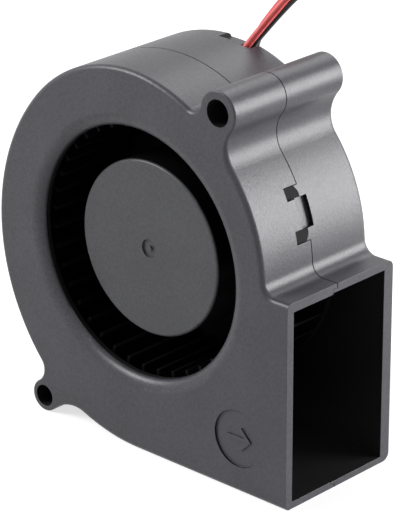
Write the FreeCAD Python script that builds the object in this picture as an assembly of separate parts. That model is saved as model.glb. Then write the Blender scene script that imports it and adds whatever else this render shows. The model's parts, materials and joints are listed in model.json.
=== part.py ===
import FreeCAD, Part
import math
import os

# Radial blower fan driven by a brushless dc motor, in millimetres.
# Modelling axes: x to the right towards the outlet, y from the front face into the depth, z up,
# all measured from the point where the shaft axis meets the front face.
# The finished solids are moved so that the origin is the bottom centre of the housing.

V = FreeCAD.Vector

# Housing
housing_depth = 30.0
seam_depth = 14.0
outlet_lip = 3.5
outlet_height = 42.0
base_room = 9.7
left_centre = (5.1, -2.4)
left_room = 10.5
top_room = 1.5
top_left_angle = 138.5
neck_centre = (-0.7, 1.8)
neck_blend = 2.6
tongue_round = 1.4
front_plate = 1.75
back_plate = 2.5
front_wall = 1.9
rear_wall = 1.6
front_floor = 1.4
rear_floor = 1.3
front_edge_round = 1.0
back_edge_round = 1.6
lug_edge_round = 0.35
back_recess_radius = 21.0
back_recess_depth = 0.35

# Lap joint between the two shells
lap_height = 1.2
lap_wall = 0.8
lap_floor = 0.65
lap_clearance = 0.08

# Mounting lugs
upper_lug_reach = 10.37
upper_lug_angle = 57.3
upper_lug_radius = 4.3
upper_bore_radius = 2.65
upper_blend_right = 6.1
upper_blend_left = 2.5
lower_lug_inset = 15.5
lower_lug_radius = 3.3
lower_bore_radius = 2.25
lower_blend_left = 3.0
lower_blend_right = 8.0

# Inlet and flow arrow
inlet_overlap = 0.9
inlet_lip_round = 1.1
collar_wall = 1.3
collar_height = 0.85
arrow_inset = 12.1
arrow_rise = 11.1
arrow_recess_radius = 5.85
arrow_recess_depth = 0.4
arrow_line = 0.75
arrow_height = 0.3
arrow_length = 5.9
arrow_barb = 3.0
arrow_barb_angle = 135.0

# Latches: two prongs of the rear shell in notches of the front shell
latch_window = 6.0
latch_prong = 2.3
floor_latch_window = 4.7
floor_latch_prong = 1.5
floor_latch_inset = 4.4
latch_angles = (19.8,)
left_latch_angles = (152.0, 203.0)
latch_notch_reach = 3.8
latch_window_front = 1.7
latch_window_rear = 1.35
latch_notch_depth = 1.15
latch_clearance = 0.12
latch_slope_start = 0.4
latch_slope_drop = 0.7
latch_overlap = 0.3
latch_reach = 2.5
latch_rim_front = 0.5
latch_wedge_margin = 1.0
latch_wedge_height = 2.0

# Impeller
impeller_radius = 29.8
tongue_gap = 1.8
blade_length = 5.5
blade_count = 39
blade_thickness = 0.7
blade_lean = 24.0
blade_bow = 0.9
impeller_gap = 0.8
impeller_plate = 1.2
tip_ring_width = 1.2
tip_ring_height = 1.2
hub_radius = 17.7
hub_face_depth = 4.27
hub_face_thickness = 1.3
hub_wall = 1.0
hub_edge_round = 0.5
dimple_radius = 1.9
dimple_depth = 0.4
dimple_pin_radius = 0.55
boss_wall = 1.5
boss_length = 4.43

# Rotor
fit_gap = 0.02
seat_gap = 0.05
yoke_wall = 0.8
yoke_plate = 0.8
yoke_recess = 1.2
yoke_hole_gap = 0.1
magnet_thickness = 2.2
magnet_recess = 1.2
magnet_seat_gap = 1.63
shaft_radius = 1.5
shaft_cover = 0.63
shaft_recess = 0.7
shaft_chamfer = 0.2
clip_groove_radius = 1.15
clip_radius = 2.2
clip_thickness = 0.35
clip_opening = 1.9
clip_gap = 0.05
washer_thickness = 0.3
washer_radius = 2.1
washer_gap = 0.08
spring_thickness = 0.3
spring_gap = 0.1

# Bearings
bearing_outer_radius = 4.0
bearing_width = 4.0
front_bearing_inset = 2.0
rear_bearing_inset = 2.3
inner_race_wall = 0.65
outer_race_wall = 0.75
ball_gap = 0.05
ball_groove_gap = 0.15
ball_count = 7
cage_height = 0.5
cage_wall = 0.25
shield_thickness = 0.2
shield_gap = 0.12
shield_recess = 0.1
shield_seat = 0.01

# Stator
tube_wall = 0.85
tube_gap = 0.8
tube_cover = 1.4
tube_shoulder = 0.7
tube_boss_wall = 1.75
tube_boss_gap = 0.8
air_gap = 0.5
core_front_gap = 4.83
core_gap = 7.5
core_hub_wall = 1.75
pole_count = 4
pole_width = 4.2
pole_turn = 45.0
shoe_thickness = 1.2
shoe_span = 76.0
insulator_plate = 0.8
insulator_wall = 1.45
insulator_step = 0.3
insulator_span_step = 6.0
upper_collar_inset = 0.3
guard_wall = 0.7
guard_reach = 0.3
guard_width = 10.0
coil_clearance = 0.15
coil_build = 1.7
coil_hub_gap = 0.4
coil_corner_share = 0.94

# Circuit board
board_thickness = 0.8
board_rear_gap = 1.0
board_gap = 1.3
board_edge_gap = 2.3
board_hole_gap = 0.3
standoff_radius = 0.9
standoff_inset = 2.8
standoff_angles = (30.0, 150.0, 210.0, 330.0)
pin_side = 0.6
pin_hole_radius = 0.48
pin_circle = 10.2
pin_angles = (75.0, 90.0, 105.0)
pin_length = 5.1
pin_stub = 0.4
solder_foot = 0.95
solder_tip = 0.45
solder_height = 0.45
chip_angle = 135.0
chip_circle = 12.2
chip_length = 4.2
chip_width = 3.2
chip_height = 1.4
chip_lift = 0.5
chip_leg_width = 0.44
chip_leg_height = 0.9
chip_leg_reach = 0.5
chip_leg_pitch = 1.0
chip_leg_count = 4
component_circle = 11.2

# Leads
lead_radius = 0.7
lead_gap = 0.03
conductor_radius = 0.3
conductor_gap = 0.02
lead_pitch = 1.6
lead_x = 2.9
channel_gap = 0.25
channel_rib = 0.7
channel_rib_height = 1.6
channel_low = 17.5
channel_roof_gap = 3.84
keeper_low = 24.0
keeper_high = 26.0
keeper_thickness = 0.6
lead_insulation_start = 16.4
lead_solder_z = 13.4
exit_notch_left = -2.2
exit_notch_right = 5.7
exit_notch_depth = 1.0
exit_notch_inset = 3.8
exit_gap = 0.12
exit_slot_drop = 4.84
exit_mouth_step = 0.2
red_turn_drop = 0.84
red_exit_across = 4.4
red_exit_inset = 1.73
red_exit_rise = 2.06
black_turn_drop = 3.34
black_bend_across = 3.0
black_bend_inset = 1.64
black_bend_drop = 0.94
black_exit_across = 4.0
black_exit_inset = 0.63
black_exit_rise = 1.01

# Coils of the free leads, one above the other, in their tie
coil_centre = (-14.0, 42.0)
coil_inner = 5.7
coil_outer = 8.8
coil_height = 2.9
tie_thickness = 0.35
tie_width = 2.0
tie_gap = 0.05

# Connector
connector_pitch = 2.5
connector_length = 9.5
connector_width = 7.4
connector_height = 5.6
connector_edge_round = 0.4
connector_x = -2.0
connector_y = 34.6
key_start = 4.5
key_offset = -2.2
key_width = 0.8
key_height = 0.5
lance_start = 5.2
lance_length = 2.2
lance_width = 1.0
contact_side = 1.5
contact_gap = 0.12
contact_length = 6.5
contact_socket = 0.9
contact_socket_start = 2.5
lead_seat = 2.0

# Reach of cutting bodies past the material, sink of one shape into the next, and test tolerance
beyond = 1.0
far = 100.0
sink = 0.2
tiny = 0.001


def polar(centre, radius, degrees):
    """Point of the x-z plane at an angle on a circle."""
    angle = math.radians(degrees)
    return (centre[0] + radius * math.cos(angle), centre[1] + radius * math.sin(angle))


def distance(a, b):
    return math.hypot(b[0] - a[0], b[1] - a[1])


def direction(a, b):
    """Angle in degrees of the way from a to b."""
    return math.degrees(math.atan2(b[1] - a[1], b[0] - a[0]))


def touch(centre, radius, other):
    """Point where a circle meets the line towards another centre."""
    return polar(centre, radius, direction(centre, other))


def circle_cross(c1, r1, c2, r2, side):
    """Crossing of two circles, on the anticlockwise side for +1."""
    apart = distance(c1, c2)
    cosine = (r1 ** 2 + apart ** 2 - r2 ** 2) / (2 * r1 * apart)
    return polar(c1, r1, direction(c1, c2) + side * math.degrees(math.acos(cosine)))


def blend_centre(c1, r1, c2, r2, blend, side):
    """Centre of the concave arc that joins two round shapes from outside."""
    return circle_cross(c1, r1 + blend, c2, r2 + blend, side)


def at(point, y=0.0):
    return V(point[0], y, point[1])


def arc_to(start, centre, end, turn):
    """Arc edge from start to end about centre, anticlockwise for turn +1."""
    first = direction(centre, start)
    last = direction(centre, end)
    while turn > 0 and last <= first:
        last += 360
    while turn < 0 and last >= first:
        last -= 360
    middle = polar(centre, distance(centre, start), (first + last) / 2)
    return Part.Arc(at(start), at(middle), at(end)).toShape()


def outline_face(start, moves):
    """Face bounded by lines and arcs: each move is (end,) or (end, centre, turn)."""
    edges = []
    here = start
    for move in moves:
        if len(move) == 1:
            edges.append(Part.makeLine(at(here), at(move[0])))
        else:
            edges.append(arc_to(here, move[1], move[0], move[2]))
        here = move[0]
    return Part.Face(Part.Wire(edges))


def slab(face, y_from, y_to):
    """Solid of a face in the x-z plane between two depths."""
    placed = face.copy()
    placed.translate(V(0, y_from, 0))
    return placed.extrude(V(0, y_to - y_from, 0))


def drum(radius, y_from, y_to, centre=(0.0, 0.0)):
    """Round bar along the depth."""
    return Part.makeCylinder(radius, y_to - y_from, at(centre, y_from), V(0, 1, 0))


def ring(outer, inner, y_from, y_to, centre=(0.0, 0.0)):
    return drum(outer, y_from, y_to, centre).cut(drum(inner, y_from - beyond, y_to + beyond, centre))


def torus(circle, section, y):
    """Round ring about the shaft axis at a depth."""
    return Part.makeTorus(circle, section, V(0, y, 0), V(0, 1, 0))


def edges_at_depth(solid, y):
    """Edges of a solid that lie flat at one depth."""
    return [edge for edge in solid.Edges
            if edge.BoundBox.YLength < tiny and abs(edge.BoundBox.YMax - y) < tiny]


def block(x, y, z):
    """Box between two limits along each axis."""
    return Part.makeBox(x[1] - x[0], y[1] - y[0], z[1] - z[0], V(x[0], y[0], z[0]))


def turned(shape, degrees):
    """Copy turned about the shaft axis, anticlockwise seen from the front."""
    copy = shape.copy()
    copy.rotate(V(0, 0, 0), V(0, 1, 0), -degrees)
    return copy


# Places that follow from the driving dimensions
axis_point = (0.0, 0.0)
neck_radius = impeller_radius + tongue_gap + front_wall
top_radius = impeller_radius + top_room + front_wall
left_radius = impeller_radius + left_room + front_wall
base_radius = impeller_radius + base_room + front_floor
outlet_reach = neck_centre[0] + neck_radius + neck_blend + outlet_lip
outlet_top = outlet_height - base_radius
left_edge = left_centre[0] - left_radius
upper_lug_centre = polar(axis_point, impeller_radius + upper_lug_reach, upper_lug_angle)
lower_lug_centre = (lower_lug_inset - base_radius, lower_lug_radius - base_radius)
top_centre = polar(left_centre, left_radius - top_radius, top_left_angle)
arrow_centre = (outlet_reach - arrow_inset, arrow_rise - base_radius)
floor_latch_x = outlet_reach - floor_latch_inset
blade_inner_radius = impeller_radius - blade_length
inlet_radius = blade_inner_radius + inlet_overlap
collar_end = front_plate + collar_height

# From the back wall forward: board, impeller disc, core and bearing tube
back_inner = housing_depth - back_plate
board_rear = back_inner - board_rear_gap
board_front = board_rear - board_thickness
impeller_rear = board_front - board_gap
impeller_front = collar_end + impeller_gap
tube_boss_front = board_front - tube_boss_gap
tube_rear = housing_depth - tube_cover
core_rear = board_front - core_gap

# From the axis outward: shaft, bearings, tube, core, magnet, yoke and hub
tube_radius = bearing_outer_radius + tube_wall
tube_shoulder_radius = bearing_outer_radius - tube_shoulder
tube_boss_radius = tube_radius + tube_boss_wall
inner_race_radius = shaft_radius + inner_race_wall
outer_race_bore = bearing_outer_radius - outer_race_wall
ball_circle = (inner_race_radius + outer_race_bore) / 2
ball_radius = (outer_race_bore - inner_race_radius) / 2 - ball_gap
hub_inner_radius = hub_radius - hub_wall
yoke_radius = hub_inner_radius - seat_gap
yoke_inner_radius = yoke_radius - yoke_wall
magnet_radius = yoke_inner_radius - seat_gap
magnet_inner_radius = magnet_radius - magnet_thickness
core_radius = magnet_inner_radius - air_gap
core_hub_radius = tube_radius + core_hub_wall
insulator_collar = tube_radius + insulator_wall
coil_inner_radius = core_hub_radius + coil_hub_gap
board_radius = hub_radius - board_edge_gap
standoff_circle = board_radius - standoff_inset

# From the hub face backward: yoke, magnet, boss, tube and bearings
hub_seat = hub_face_depth + hub_face_thickness
boss_radius = shaft_radius + boss_wall
boss_end = hub_face_depth + boss_length
shaft_front = hub_seat + shaft_cover
shaft_rear = tube_rear - shaft_recess
yoke_rear = impeller_rear - yoke_recess
magnet_front = hub_seat + yoke_plate + magnet_seat_gap
core_front = hub_seat + yoke_plate + core_front_gap
magnet_rear = yoke_rear - magnet_recess
tube_front = boss_end + tube_gap
front_bearing_y = tube_front + front_bearing_inset
rear_bearing_end = tube_rear - rear_bearing_inset
rear_bearing_y = rear_bearing_end - bearing_width
washer_y = rear_bearing_end + washer_gap
clip_y = washer_y + washer_thickness + washer_gap + clip_gap

# Leads and connector
lead_y = back_inner - lead_radius - lead_gap
lead_places = {"red": lead_x, "black": lead_x + lead_pitch}
roof_z = top_centre[1] + math.sqrt((top_radius - rear_wall) ** 2 - (lead_x - top_centre[0]) ** 2)
channel_high = roof_z - channel_roof_gap
exit_slot_z = roof_z - exit_slot_drop
exit_mouth_z = exit_slot_z + exit_mouth_step
exit_notch_front = housing_depth - exit_notch_inset


def housing_face():
    """Outline of the closed housing: outlet, neck, lugs and scroll, anticlockwise from the front."""
    corner = (outlet_reach, outlet_top)
    neck_reach = neck_radius + neck_blend
    rise = outlet_top + neck_blend - neck_centre[1]
    neck_turn = (neck_centre[0] + math.sqrt(neck_reach ** 2 - rise ** 2), outlet_top + neck_blend)
    right = blend_centre(neck_centre, neck_radius, upper_lug_centre, upper_lug_radius,
                         upper_blend_right, -1)
    left = blend_centre(top_centre, top_radius, upper_lug_centre, upper_lug_radius,
                        upper_blend_left, 1)
    low_left = blend_centre(left_centre, left_radius, lower_lug_centre, lower_lug_radius,
                            lower_blend_left, -1)
    low_right = blend_centre(axis_point, base_radius, lower_lug_centre, lower_lug_radius,
                             lower_blend_right, 1)
    return outline_face(corner, [
        ((neck_turn[0], outlet_top),),
        (touch(neck_centre, neck_radius, neck_turn), neck_turn, -1),
        (touch(neck_centre, neck_radius, right), neck_centre, 1),
        (touch(upper_lug_centre, upper_lug_radius, right), right, -1),
        (touch(upper_lug_centre, upper_lug_radius, left), upper_lug_centre, 1),
        (touch(top_centre, top_radius, left), left, -1),
        (polar(left_centre, left_radius, top_left_angle), top_centre, 1),
        (touch(left_centre, left_radius, low_left), left_centre, 1),
        (touch(lower_lug_centre, lower_lug_radius, low_left), low_left, -1),
        (touch(lower_lug_centre, lower_lug_radius, low_right), lower_lug_centre, 1),
        (touch(axis_point, base_radius, low_right), low_right, -1),
        ((0.0, -base_radius), axis_point, 1),
        ((outlet_reach, -base_radius),),
        (corner,),
    ])


def flow_face(wall, floor):
    """Outline of the air space inside walls of the given thickness, open past the outlet."""
    mouth = outlet_reach + beyond
    ceiling = outlet_top - wall
    neck_in = neck_radius - wall
    top_in = top_radius - wall
    left_in = left_radius - wall
    base_in = base_radius - floor
    rise = ceiling + tongue_round - neck_centre[1]
    tongue = (neck_centre[0] + math.sqrt((neck_in + tongue_round) ** 2 - rise ** 2),
              ceiling + tongue_round)
    return outline_face((mouth, ceiling), [
        ((tongue[0], ceiling),),
        (touch(neck_centre, neck_in, tongue), tongue, -1),
        (circle_cross(neck_centre, neck_in, top_centre, top_in, -1), neck_centre, 1),
        (polar(left_centre, left_in, top_left_angle), top_centre, 1),
        (circle_cross(left_centre, left_in, axis_point, base_in, 1), left_centre, 1),
        ((0.0, -base_in), axis_point, 1),
        ((mouth, -base_in),),
        ((mouth, ceiling),),
    ])


def rounded_housing():
    """Closed housing block with its front and back edges rounded, less around the lugs."""
    body = slab(housing_face(), 0.0, housing_depth)
    document = FreeCAD.newDocument("housing")
    base = document.addObject("Part::Feature", "base")
    base.Shape = body
    rounded = document.addObject("Part::Fillet", "rounded")
    rounded.Base = base
    choices = []
    lugs = ((upper_lug_centre, upper_lug_radius), (lower_lug_centre, lower_lug_radius))
    for number, edge in enumerate(base.Shape.Edges, 1):
        box = edge.BoundBox
        flat = box.YLength < tiny
        on_mouth = abs(box.XMin - outlet_reach) < tiny
        if not flat or on_mouth:
            continue
        size = front_edge_round if box.YMax < tiny else back_edge_round
        ends = []
        for vertex in (edge.Vertexes[0], edge.Vertexes[-1]):
            place = (vertex.X, vertex.Z)
            on_lug = any(abs(distance(place, centre) - radius) < 10 * tiny for centre, radius in lugs)
            ends.append(lug_edge_round if on_lug else size)
        choices.append((number, ends[0], ends[1]))
    rounded.Edges = choices
    document.recompute()
    shape = rounded.Shape.copy()
    FreeCAD.closeDocument(document.Name)
    return shape


def latch_frames():
    """Foot point, outward angle, window and prong width, and wall radius of each latch."""
    frames = [(polar(neck_centre, neck_radius, angle), angle, latch_window, latch_prong, neck_radius)
              for angle in latch_angles]
    frames += [(polar(left_centre, left_radius, angle), angle, latch_window, latch_prong, left_radius)
               for angle in left_latch_angles]
    foot = (floor_latch_x, -base_radius)
    frames.append((foot, -90.0, floor_latch_window, floor_latch_prong, None))
    return frames


def placed_on_wall(shape, foot, angle):
    """Move a shape from wall axes (x along, y depth, z outward) to its latch."""
    shape.rotate(V(0, 0, 0), V(0, 1, 0), 90 - angle)
    shape.translate(at(foot))
    return shape


def latch_boxes(frame, y_from, y_to, spread):
    """The two boxes over the prongs of a latch, widened by spread."""
    foot, angle, window, prong, wall_radius = frame
    near = window / 2 - spread
    far_side = window / 2 + prong + spread
    boxes = []
    for low, high in ((near, far_side), (-far_side, -near)):
        box = block((low, high), (y_from, y_to), (-latch_reach, latch_reach))
        boxes.append(placed_on_wall(box, foot, angle))
    return boxes


def window_box(frame, y_from, y_to):
    """Box over the gap between the two prongs of a latch."""
    foot, angle, window, prong, wall_radius = frame
    box = block((-window / 2, window / 2), (y_from, y_to), (-latch_reach, latch_reach))
    return placed_on_wall(box, foot, angle)


def wall_band(depth, y_from, y_to):
    """Outer skin of the housing wall of one depth between two y values."""
    skin = slab(housing_face(), y_from, y_to)
    return skin.cut(slab(flow_face(depth, depth), y_from - beyond, y_to + beyond))


def latch_wedge(frame, tip):
    """What a prong loses so that it slopes inwards towards its tip."""
    foot, angle, window, prong, wall_radius = frame
    middle = (window + prong) / 2
    sag = wall_radius - math.sqrt(wall_radius ** 2 - middle ** 2) if wall_radius else 0.0
    half = window / 2 + prong + latch_wedge_margin
    start = seam_depth - latch_slope_start
    end = tip - tiny
    slope = Part.makePolygon([
        V(-half, start, -sag),
        V(-half, end, -sag - latch_slope_drop),
        V(-half, end, latch_wedge_height),
        V(-half, start, latch_wedge_height),
        V(-half, start, -sag),
    ])
    return placed_on_wall(Part.Face(slope).extrude(V(2 * half, 0, 0)), foot, angle)


def latch_prongs():
    """Prongs of the rear shell that reach into the notches and slope inwards."""
    tip = seam_depth - latch_notch_reach + latch_clearance * 2
    band = wall_band(latch_notch_depth - lap_clearance, tip, seam_depth + latch_window_rear)
    pieces = []
    for frame in latch_frames():
        wedge = latch_wedge(frame, tip)
        for box in latch_boxes(frame, tip, seam_depth + latch_overlap, 0.0):
            pieces.append(band.common(box).cut(wedge))
    return pieces


def latch_notches():
    """What the front shell loses at the latches."""
    reach = seam_depth - latch_notch_reach
    band = wall_band(latch_notch_depth, reach, seam_depth + beyond)
    cuts = []
    for frame in latch_frames():
        boxes = latch_boxes(frame, reach, seam_depth + beyond, latch_clearance)
        boxes.append(window_box(frame, seam_depth - latch_window_front, seam_depth + beyond))
        cuts += [band.common(box) for box in boxes]
    return cuts


def latch_rim_cuts():
    """What the rear shell's rim loses between the prongs."""
    front = seam_depth - latch_rim_front
    rear = seam_depth + latch_window_rear
    band = wall_band(lap_wall + lap_clearance, front, rear)
    return [band.common(window_box(frame, front, rear)) for frame in latch_frames()]


def flow_arrow():
    """Raised arrow in its round recess: it points to the outlet."""
    cx, cz = arrow_centre
    half = arrow_line / 2
    depths = (arrow_recess_depth - arrow_height, arrow_recess_depth + sink)
    tip_x = cx + arrow_length / 2
    arrow = block((cx - arrow_length / 2, tip_x - half), depths, (cz - half, cz + half))
    for turn in (arrow_barb_angle, -arrow_barb_angle):
        barb = block((-half, arrow_barb), depths, (-half, half))
        barb.rotate(V(0, 0, 0), V(0, 1, 0), turn)
        barb.translate(V(tip_x - half, 0, cz))
        arrow = arrow.fuse(barb)
    return arrow


def lug_bores():
    upper = drum(upper_bore_radius, -beyond, housing_depth + beyond, upper_lug_centre)
    lower = drum(lower_bore_radius, -beyond, housing_depth + beyond, lower_lug_centre)
    return [upper, lower]


def inlet_throat():
    """Round inlet with its rounded lip, as the body to cut away."""
    lip_radius = inlet_radius + inlet_lip_round
    lip = Part.makeCone(lip_radius, inlet_radius, inlet_lip_round, V(0, 0, 0), V(0, 1, 0))
    lip = lip.cut(torus(lip_radius, inlet_lip_round, inlet_lip_round))
    return drum(inlet_radius, -beyond, collar_end + beyond).fuse(lip)


def front_housing(closed):
    """Front shell: inlet plate, collar, half of the wall, rebate, latch notches and flow arrow."""
    shell = closed.common(block((-far, far), (-beyond, seam_depth), (-far, far)))
    shell = shell.cut(slab(flow_face(front_wall, front_floor), front_plate, seam_depth + beyond))
    shell = shell.fuse(ring(inlet_radius + collar_wall, inlet_radius, front_plate - sink, collar_end))
    rebate = slab(flow_face(lap_wall, lap_floor), seam_depth - lap_height, seam_depth + beyond)
    recess = drum(arrow_recess_radius, -beyond, arrow_recess_depth, arrow_centre)
    for cut in [inlet_throat(), rebate, recess] + lug_bores() + latch_notches():
        shell = shell.cut(cut)
    return shell.fuse(flow_arrow())


def lead_channel():
    """Ribs on the back wall that hold the leads, with a keeper tab across them."""
    left = lead_places["red"] - lead_radius - channel_gap
    right = lead_places["black"] + lead_radius + channel_gap
    rib_front = back_inner - channel_rib_height
    pieces = []
    for low in (left - channel_rib, right):
        pieces.append(block((low, low + channel_rib), (rib_front, back_inner + sink),
                            (channel_low, channel_high)))
    pieces.append(block((left - channel_rib, right + channel_rib), (rib_front - keeper_thickness, rib_front),
                        (keeper_low, keeper_high)))
    return pieces


def exit_notch():
    """Shallow step in the rear shell's top edge, and the slot that the leads come out of."""
    deep = (0.0, housing_depth + beyond)
    skin = wall_band(exit_notch_depth, exit_notch_front, housing_depth + beyond)
    step = skin.common(block((exit_notch_left, exit_notch_right), deep, (exit_slot_z, far)))
    gap = lead_radius + exit_gap
    across = (lead_places["red"] - gap, lead_exits["black"].x + gap)
    slot = block(across, (lead_y - gap, back_inner), (exit_slot_z, far))
    mouth = block(across, (lead_y - gap, deep[1]), (exit_mouth_z, far))
    return [step, slot, mouth]


def rear_housing(closed):
    """Rear shell: back wall, half of the wall with its lap lip, prongs, tube boss and lead channel."""
    shell = closed.common(block((-far, far), (seam_depth, housing_depth + beyond), (-far, far)))
    shell = shell.cut(slab(flow_face(rear_wall, rear_floor), seam_depth - beyond, back_inner))
    lip_front = seam_depth - lap_height + lap_clearance
    lip_rear = seam_depth + sink
    lip = slab(flow_face(lap_wall + lap_clearance, lap_floor + lap_clearance), lip_front, lip_rear)
    lip = lip.cut(slab(flow_face(rear_wall, rear_floor), lip_front - beyond, lip_rear + beyond))
    lip = lip.common(block((-far, outlet_reach), (0.0, housing_depth), (-far, far)))
    boss = drum(tube_boss_radius, tube_boss_front, back_inner + sink)
    posts = [drum(standoff_radius, board_rear, back_inner + sink, polar(axis_point, standoff_circle, angle))
             for angle in standoff_angles]
    shell = shell.multiFuse([lip, boss] + posts + latch_prongs() + lead_channel())
    pocket = drum(tube_radius + fit_gap, tube_boss_front - beyond, tube_rear)
    recess = drum(back_recess_radius, housing_depth - back_recess_depth, housing_depth + beyond)
    for cut in [pocket, recess] + lug_bores() + latch_rim_cuts() + exit_notch():
        shell = shell.cut(cut)
    return shell


def blade_face():
    """Section of one forward-curved blade: two arcs through the same ends, closed by short edges."""
    half = blade_thickness / 2
    outer = impeller_radius - tip_ring_width / 4
    ends = []
    for radius, shift in ((blade_inner_radius, 0.0), (outer, 1.0)):
        angle = shift * math.degrees((outer - blade_inner_radius) / outer) * math.tan(
            math.radians(blade_lean))
        ends.append((radius, angle))
    middle_radius = (blade_inner_radius + outer) / 2
    middle = (middle_radius, ends[1][1] / 2 - math.degrees(blade_bow / middle_radius))
    sides = []
    for side in (half, -half):
        points = [at(polar(axis_point, radius, angle + math.degrees(side / radius)))
                  for radius, angle in (ends[0], middle, ends[1])]
        sides.append(points)
    first, second = sides
    return Part.Face(Part.Wire([
        Part.Arc(first[0], first[1], first[2]).toShape(),
        Part.makeLine(first[2], second[2]),
        Part.Arc(second[2], second[1], second[0]).toShape(),
        Part.makeLine(second[0], first[0]),
    ]))


def impeller():
    """Hub cup, back disc, blades and front tip ring, one moulding."""
    plate_front = impeller_rear - impeller_plate
    hub = drum(hub_radius, hub_face_depth, impeller_rear)
    hub = hub.makeFillet(hub_edge_round, edges_at_depth(hub, hub_face_depth))
    hub = hub.cut(drum(hub_inner_radius, hub_seat, impeller_rear + beyond))
    hub = hub.fuse(drum(boss_radius, hub_seat - sink, boss_end))
    hub = hub.cut(ring(dimple_radius, dimple_pin_radius, hub_face_depth - beyond,
                       hub_face_depth + dimple_depth))
    hub = hub.cut(drum(shaft_radius + fit_gap, shaft_front, boss_end + beyond))
    plate = ring(impeller_radius, hub_radius - sink, plate_front, impeller_rear)
    tip_ring = ring(impeller_radius, impeller_radius - tip_ring_width, impeller_front,
                    impeller_front + tip_ring_height)
    blade = slab(blade_face(), impeller_front, plate_front + sink)
    blades = [turned(blade, number * 360.0 / blade_count) for number in range(blade_count)]
    return hub.multiFuse([plate, tip_ring] + blades)


def rotor_yoke():
    """Drawn steel cup that is pressed into the hub."""
    cup = drum(yoke_radius, hub_seat, yoke_rear)
    cup = cup.cut(drum(yoke_inner_radius, hub_seat + yoke_plate, yoke_rear + beyond))
    return cup.cut(drum(boss_radius + yoke_hole_gap, hub_seat - beyond, hub_seat + yoke_plate + beyond))


def ring_magnet():
    return ring(magnet_radius, magnet_inner_radius, magnet_front, magnet_rear)


def shaft():
    """Ground pin with chamfered ends and the groove of its retaining clip."""
    pin = drum(shaft_radius, shaft_front, shaft_rear)
    pin = pin.makeChamfer(shaft_chamfer, edges_at_depth(pin, shaft_front) + edges_at_depth(pin, shaft_rear))
    groove = ring(shaft_radius + beyond, clip_groove_radius, clip_y - clip_gap,
                  clip_y + clip_thickness + clip_gap)
    return pin.cut(groove)


def thrust_washer():
    return ring(washer_radius, shaft_radius + fit_gap, washer_y, washer_y + washer_thickness)


def retaining_clip():
    """Open clip in the shaft's groove."""
    clip = ring(clip_radius, clip_groove_radius + fit_gap, clip_y, clip_y + clip_thickness)
    half = clip_opening / 2
    return clip.cut(block((-half, half), (clip_y - beyond, clip_y + beyond), (-far, 0)))


def preload_washer():
    """Conical spring washer between the hub boss and the front inner race."""
    low = boss_end + spring_gap
    high = front_bearing_y - spring_gap
    inner = shaft_radius + spring_gap
    thick = spring_thickness
    profile = Part.makePolygon([
        V(inner, low, 0), V(inner + thick, low, 0), V(washer_radius, high - thick, 0),
        V(washer_radius, high, 0), V(washer_radius - thick, high, 0), V(inner, low + thick, 0),
        V(inner, low, 0)])
    return Part.Face(profile).revolve(V(0, 0, 0), V(0, 1, 0), 360)


def ball_groove(y):
    """Track of the balls, as the body to cut from both rings of a bearing."""
    return torus(ball_circle, ball_radius + ball_groove_gap, y + bearing_width / 2)


def outer_race(y):
    """Outer ring of a ball bearing with its ball groove."""
    return ring(bearing_outer_radius, outer_race_bore, y, y + bearing_width).cut(ball_groove(y))


def inner_race(y):
    """Inner ring of a ball bearing with its ball groove."""
    return ring(inner_race_radius, shaft_radius + fit_gap, y, y + bearing_width).cut(ball_groove(y))


def ball_cage(y):
    """Balls and the thin ring that spaces them."""
    middle = y + bearing_width / 2
    cage = ring(ball_circle + cage_wall / 2, ball_circle - cage_wall / 2, middle - cage_height,
                middle + cage_height)
    balls = []
    for number in range(ball_count):
        place = polar(axis_point, ball_circle, number * 360.0 / ball_count)
        balls.append(Part.makeSphere(ball_radius, at(place, middle)))
        cage = cage.cut(balls[-1])
    return cage, balls


def bearing_shields(y):
    """Thin side plates of a bearing, seated in its outer ring."""
    inner = inner_race_radius + shield_gap
    outer = outer_race_bore - shield_seat
    front = y + shield_recess
    rear = y + bearing_width - shield_recess
    return [ring(outer, inner, front, front + shield_thickness),
            ring(outer, inner, rear - shield_thickness, rear)]


def bearing_tube():
    """Brass tube with an inner shoulder between the two bearing seats."""
    bore = bearing_outer_radius + fit_gap
    tube = ring(tube_radius, tube_shoulder_radius, tube_front, tube_rear)
    tube = tube.cut(drum(bore, tube_front - beyond, front_bearing_y + bearing_width + fit_gap))
    return tube.cut(drum(bore, rear_bearing_y - fit_gap, tube_rear + beyond))


def pole_faces(inner, outer, width, span):
    """Sections of one pole pointing up: neck out of the hub, and curved shoe."""
    shoe_inner = outer - shoe_thickness
    neck_top = shoe_inner + sink
    half_width = width / 2
    neck = Part.Face(Part.makePolygon([
        V(-half_width, 0, inner), V(half_width, 0, inner), V(half_width, 0, neck_top),
        V(-half_width, 0, neck_top), V(-half_width, 0, inner)]))
    half_span = span / 2
    outer_points = [at(polar(axis_point, outer, 90 + angle)) for angle in (-half_span, 0, half_span)]
    inner_points = [at(polar(axis_point, shoe_inner, 90 + angle)) for angle in (half_span, 0, -half_span)]
    shoe = Part.Face(Part.Wire([
        Part.Arc(*outer_points).toShape(),
        Part.makeLine(outer_points[2], inner_points[0]),
        Part.Arc(*inner_points).toShape(),
        Part.makeLine(inner_points[2], outer_points[0])]))
    return [neck, shoe]


def on_poles(shape):
    """Copies of a shape that points up, one on each pole."""
    return [turned(shape, pole_turn + number * 360.0 / pole_count) for number in range(pole_count)]


def poles(y_from, y_to, inner, outer, span):
    solids = []
    for face in pole_faces(inner, outer, pole_width, span):
        solids += on_poles(slab(face, y_from, y_to))
    return solids


def stator_core():
    """Laminated core: hub ring and four poles with curved shoes."""
    hub = ring(core_hub_radius, tube_radius + fit_gap, core_front, core_rear)
    core = hub.multiFuse(poles(core_front, core_rear, core_hub_radius - sink, core_radius, shoe_span))
    return core.removeSplitter()


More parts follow.
